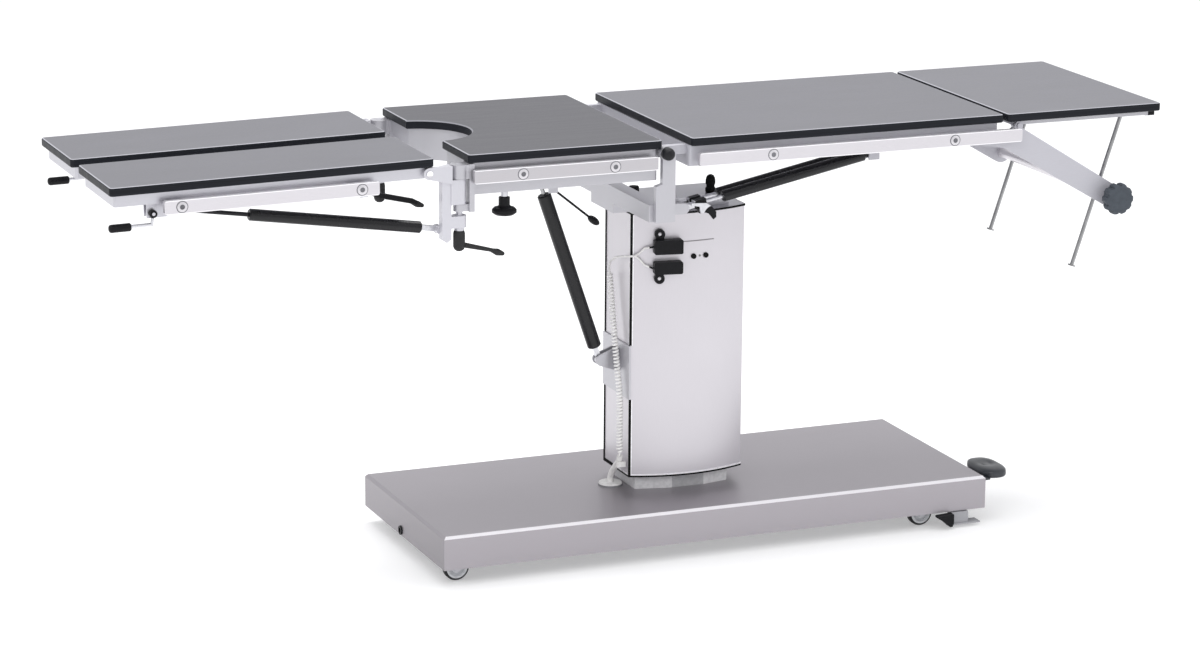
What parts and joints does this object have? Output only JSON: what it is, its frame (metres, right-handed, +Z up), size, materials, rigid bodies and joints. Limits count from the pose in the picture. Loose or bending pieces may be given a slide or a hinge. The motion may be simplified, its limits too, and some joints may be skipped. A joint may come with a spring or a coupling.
{
  "type": "gynecological operating table",
  "caption": "Long operating table on a lifting column and a wheeled base, with hinged head, back, seat and split leg sections and side rails.",
  "frame": {"origin": "on the floor under the axle that carries the seat and back sections, on the centre line across the table; this is the middle of the length and width to within 10 mm", "axes": "+X along the table towards the head end, +Y across it to the side away from the star knob, +Z up"},
  "size_m": [2.1113, 0.5263, 0.823],
  "materials": {
    "satin_steel": "satin",
    "bright_steel": "fine brushed",
    "chassis_paint": "semi-matt",
    "white_paint": "satin",
    "dark_board": "satin",
    "black_plastic": "satin",
    "black_rubber": "matt",
    "black_paint": "semi-gloss",
    "chrome": "polished",
    "white_cord": "satin"
  },
  "bodies": {
    "base": {"base_cover": "satin_steel", "base_frame": "chassis_paint", "column_inner": "white_paint", "lift_actuator": "chassis_paint", "power_socket": "black_plastic", "cord_gland": "black_plastic", "curly_cord": "white_cord"},
    "column": {"column_head": "satin_steel", "column_covers": "bright_steel", "column_trim": "black_rubber", "cord_plugs": "black_plastic", "tilt_anchor": "bright_steel", "cradle": "satin_steel", "table_axle": "black_plastic"},
    "seat": {"seat_frame": "satin_steel", "seat_panel": "dark_board", "seat_rails": "bright_steel"},
    "back": {"back_frame": "satin_steel", "back_panel": "dark_board", "back_rails": "bright_steel"},
    "head": {"head_frame": "satin_steel", "head_panel": "dark_board"},
    "head_stays": {"head_stay_rods": "bright_steel"},
    "cross_tube": {"head_cross_tube": "bright_steel"},
    "star_knob": {"star_knob": "black_plastic"},
    "brake_pedal": {"brake_pedal": "black_plastic"},
    "floor_lock": {"floor_lock_lever": "black_plastic"},
    "button_up": {"button_up": "black_rubber"},
    "button_down": {"button_down": "black_rubber"},
    "tilt_lever": {"tilt_lever": "black_plastic"},
    "seat_knob": {"seat_knob": "black_plastic"},
    "tilt_barrel": {"tilt_spring_barrel": "black_paint"},
    "tilt_rod": {"tilt_spring_rod": "chrome"},
    "back_rods": {"back_spring_rods": "chrome"},
    "back_barrels": {"back_spring_barrels": "black_paint"},
    "back_lever": {"back_spring_lever": "black_plastic"},
    "castor_1": {"castor_fork_1": "satin_steel"},
    "castor_wheel_1": {"castor_wheel_1": "black_rubber"},
    "castor_2": {"castor_fork_2": "satin_steel"},
    "castor_wheel_2": {"castor_wheel_2": "black_rubber"},
    "castor_3": {"castor_fork_3": "satin_steel"},
    "castor_wheel_3": {"castor_wheel_3": "black_rubber"},
    "castor_4": {"castor_fork_4": "satin_steel"},
    "castor_wheel_4": {"castor_wheel_4": "black_rubber"},
    "leg_swivel_near": {"leg_swivel_near": "satin_steel"},
    "leg_near": {"leg_frame_near": "satin_steel", "leg_panel_near": "dark_board"},
    "leg_barrel_near": {"leg_spring_barrel_near": "black_paint"},
    "leg_rod_near": {"leg_spring_rod_near": "chrome"},
    "leg_crank_near": {"leg_crank_near": "black_plastic"},
    "leg_clamp_near": {"leg_clamp_near": "black_plastic"},
    "leg_lever_near": {"leg_lever_near": "black_plastic"},
    "leg_swivel_far": {"leg_swivel_far": "satin_steel"},
    "leg_far": {"leg_frame_far": "satin_steel", "leg_panel_far": "dark_board"},
    "leg_barrel_far": {"leg_spring_barrel_far": "black_paint"},
    "leg_rod_far": {"leg_spring_rod_far": "chrome"},
    "leg_crank_far": {"leg_crank_far": "black_plastic"},
    "leg_clamp_far": {"leg_clamp_far": "black_plastic"},
    "leg_lever_far": {"leg_lever_far": "black_plastic"}
  },
  "joints": [
    {"name": "lift", "type": "slide", "parent": "base", "child": "column", "axis": [0, 0, 1], "range_m": [0, 0.28], "deforming": ["curly_cord"]},
    {"name": "castor_swivel_1", "type": "hinge", "parent": "base", "child": "castor_1", "pos_m": [-0.385, -0.183, 0.025], "axis": [0, 0, 1], "continuous": true},
    {"name": "castor_roll_1", "type": "hinge", "parent": "castor_1", "child": "castor_wheel_1", "pos_m": [-0.397, -0.183, 0.025], "axis": [0, 1, 0], "continuous": true},
    {"name": "castor_swivel_2", "type": "hinge", "parent": "base", "child": "castor_2", "pos_m": [0.587, -0.183, 0.025], "axis": [0, 0, 1], "continuous": true},
    {"name": "castor_roll_2", "type": "hinge", "parent": "castor_2", "child": "castor_wheel_2", "pos_m": [0.575, -0.183, 0.025], "axis": [0, 1, 0], "continuous": true},
    {"name": "castor_swivel_3", "type": "hinge", "parent": "base", "child": "castor_3", "pos_m": [-0.385, 0.183, 0.025], "axis": [0, 0, 1], "continuous": true},
    {"name": "castor_roll_3", "type": "hinge", "parent": "castor_3", "child": "castor_wheel_3", "pos_m": [-0.385, 0.171, 0.025], "axis": [-1, 0, 0], "continuous": true},
    {"name": "castor_swivel_4", "type": "hinge", "parent": "base", "child": "castor_4", "pos_m": [0.587, 0.183, 0.025], "axis": [0, 0, 1], "continuous": true},
    {"name": "castor_roll_4", "type": "hinge", "parent": "castor_4", "child": "castor_wheel_4", "pos_m": [0.575, 0.183, 0.025], "axis": [0, 1, 0], "continuous": true},
    {"name": "brake_pedal", "type": "hinge", "parent": "base", "child": "brake_pedal", "pos_m": [0.66, -0.2, 0.082], "axis": [0, 1, 0], "range_deg": [0, 10], "stiffness_Nm_per_rad": 3, "springref_deg": -8.59},
    {"name": "floor_lock", "type": "hinge", "parent": "base", "child": "floor_lock", "pos_m": [0.646, -0.221, 0.022], "axis": [1, 0, 0], "range_deg": [0, 12]},
    {"name": "button_up", "type": "slide", "parent": "column", "child": "button_up", "axis": [0, 1, 0], "range_m": [0, 0.002], "stiffness_N_per_m": 500, "springref_m": -0.0006},
    {"name": "button_down", "type": "slide", "parent": "column", "child": "button_down", "axis": [0, 1, 0], "range_m": [0, 0.002], "stiffness_N_per_m": 500, "springref_m": -0.0006},
    {"name": "seat_tilt", "type": "hinge", "parent": "column", "child": "seat", "pos_m": [0, 0, 0.798], "axis": [0, 1, 0], "range_deg": [-15, 10]},
    {"name": "back_tilt", "type": "hinge", "parent": "column", "child": "back", "pos_m": [0, 0, 0.798], "axis": [0, 1, 0], "range_deg": [-60, 10]},
    {"name": "tilt_spring_pivot", "type": "hinge", "parent": "column", "child": "tilt_barrel", "pos_m": [-0.034, 0, 0.348], "axis": [0, 1, 0], "range_deg": [-2, 2]},
    {"name": "tilt_spring_slide", "type": "slide", "parent": "tilt_barrel", "child": "tilt_rod", "axis": [-0.327, 0, 0.945], "range_m": [-0.05, 0.035]},
    {"name": "back_spring_pivot", "type": "hinge", "parent": "column", "child": "back_rods", "pos_m": [0.055, -0.177, 0.68], "axis": [0, 1, 0], "range_deg": [-58, 11]},
    {"name": "back_spring_slide", "type": "slide", "parent": "back_rods", "child": "back_barrels", "axis": [0.981, 0, 0.1942], "range_m": [-0.024, 0.13]},
    {"name": "back_spring_lever", "type": "hinge", "parent": "back_rods", "child": "back_lever", "pos_m": [0.09265, -0.19, 0.67522], "axis": [0, 1, 0], "range_deg": [-8, 0], "stiffness_Nm_per_rad": 0.004, "springref_deg": 14.32},
    {"name": "tilt_lever", "type": "hinge", "parent": "seat", "child": "tilt_lever", "pos_m": [-0.161, -0.07, 0.71], "axis": [0, 1, 0], "range_deg": [-12, 0], "stiffness_Nm_per_rad": 0.3, "springref_deg": 8.59},
    {"name": "seat_knob", "type": "hinge", "parent": "seat", "child": "seat_knob", "pos_m": [-0.311, -0.21, 0.716], "axis": [0, 0, 1], "continuous": true},
    {"name": "head_tilt", "type": "hinge", "parent": "back", "child": "head", "pos_m": [0.743, 0, 0.797], "axis": [0, 1, 0], "range_deg": [-30, 25]},
    {"name": "stay_pivot", "type": "hinge", "parent": "head", "child": "head_stays", "pos_m": [1.003, 0, 0.797], "axis": [0, 1, 0], "range_deg": [-13, 16]},
    {"name": "cross_tube_turn", "type": "hinge", "parent": "back", "child": "cross_tube", "pos_m": [0.952, 0, 0.64235], "axis": [0, 1, 0], "range_deg": [-16, 13]},
    {"name": "star_knob", "type": "hinge", "parent": "cross_tube", "child": "star_knob", "pos_m": [0.952, -0.252, 0.64235], "axis": [0, -1, 0], "continuous": true},
    {"name": "leg_swivel_near", "type": "hinge", "parent": "seat", "child": "leg_swivel_near", "pos_m": [-0.403, -0.22, 0.747], "axis": [0, 0, 1], "range_deg": [0, 90]},
    {"name": "leg_flex_near", "type": "hinge", "parent": "leg_swivel_near", "child": "leg_near", "pos_m": [-0.466, -0.233, 0.793], "axis": [0, -1, 0], "range_deg": [0, 80]},
    {"name": "leg_spring_pivot_near", "type": "hinge", "parent": "leg_swivel_near", "child": "leg_barrel_near", "pos_m": [-0.437, -0.195, 0.681], "axis": [0, 1, 0], "range_deg": [-88, 1]},
    {"name": "leg_spring_slide_near", "type": "slide", "parent": "leg_barrel_near", "child": "leg_rod_near", "axis": [-0.9888, 0, 0.1493], "range_m": [-0.145, 0.002]},
    {"name": "leg_crank_near", "type": "hinge", "parent": "leg_near", "child": "leg_crank_near", "pos_m": [-0.97603, -0.211, 0.75403], "axis": [0, 1, 0], "range_deg": [0, 12], "stiffness_Nm_per_rad": 0.15, "springref_deg": -8.59},
    {"name": "leg_clamp_near", "type": "hinge", "parent": "leg_swivel_near", "child": "leg_clamp_near", "pos_m": [-0.403, -0.22, 0.657], "axis": [0, 0, 1], "range_deg": [-60, 60]},
    {"name": "leg_lever_near", "type": "hinge", "parent": "leg_near", "child": "leg_lever_near", "pos_m": [-0.56934, -0.165, 0.7517], "axis": [0, 1, 0], "range_deg": [-10, 0]},
    {"name": "leg_swivel_far", "type": "hinge", "parent": "seat", "child": "leg_swivel_far", "pos_m": [-0.403, 0.22, 0.747], "axis": [0, 0, 1], "range_deg": [-90, 0]},
    {"name": "leg_flex_far", "type": "hinge", "parent": "leg_swivel_far", "child": "leg_far", "pos_m": [-0.466, 0.233, 0.793], "axis": [0, -1, 0], "range_deg": [0, 80]},
    {"name": "leg_spring_pivot_far", "type": "hinge", "parent": "leg_swivel_far", "child": "leg_barrel_far", "pos_m": [-0.437, 0.195, 0.681], "axis": [0, 1, 0], "range_deg": [-88, 1]},
    {"name": "leg_spring_slide_far", "type": "slide", "parent": "leg_barrel_far", "child": "leg_rod_far", "axis": [-0.9888, 0, 0.1493], "range_m": [-0.145, 0.002]},
    {"name": "leg_crank_far", "type": "hinge", "parent": "leg_far", "child": "leg_crank_far", "pos_m": [-0.97603, 0.211, 0.75403], "axis": [0, 1, 0], "range_deg": [0, 12], "stiffness_Nm_per_rad": 0.15, "springref_deg": -8.59},
    {"name": "leg_clamp_far", "type": "hinge", "parent": "leg_swivel_far", "child": "leg_clamp_far", "pos_m": [-0.403, 0.22, 0.657], "axis": [0, 0, 1], "range_deg": [-60, 60]},
    {"name": "leg_lever_far", "type": "hinge", "parent": "leg_far", "child": "leg_lever_far", "pos_m": [-0.56934, 0.165, 0.7517], "axis": [0, 1, 0], "range_deg": [-10, 0]}
  ],
  "couplings": [
    {"joint": "tilt_spring_pivot", "follows": "seat_tilt", "ratio": 0.0459},
    {"joint": "tilt_spring_slide", "follows": "seat_tilt", "m_per_rad": 0.17973},
    {"joint": "back_spring_pivot", "follows": "back_tilt", "ratio": 0.9388},
    {"joint": "back_spring_slide", "follows": "back_tilt", "m_per_rad": -0.12064},
    {"joint": "stay_pivot", "follows": "head_tilt", "ratio": -0.5},
    {"joint": "cross_tube_turn", "follows": "head_tilt", "ratio": 0.5},
    {"joint": "leg_spring_pivot_near", "follows": "leg_flex_near", "ratio": -1.0797},
    {"joint": "leg_spring_slide_near", "follows": "leg_flex_near", "m_per_rad": -0.1002},
    {"joint": "leg_spring_pivot_far", "follows": "leg_flex_far", "ratio": -1.0797},
    {"joint": "leg_spring_slide_far", "follows": "leg_flex_far", "m_per_rad": -0.1002}
  ]
}
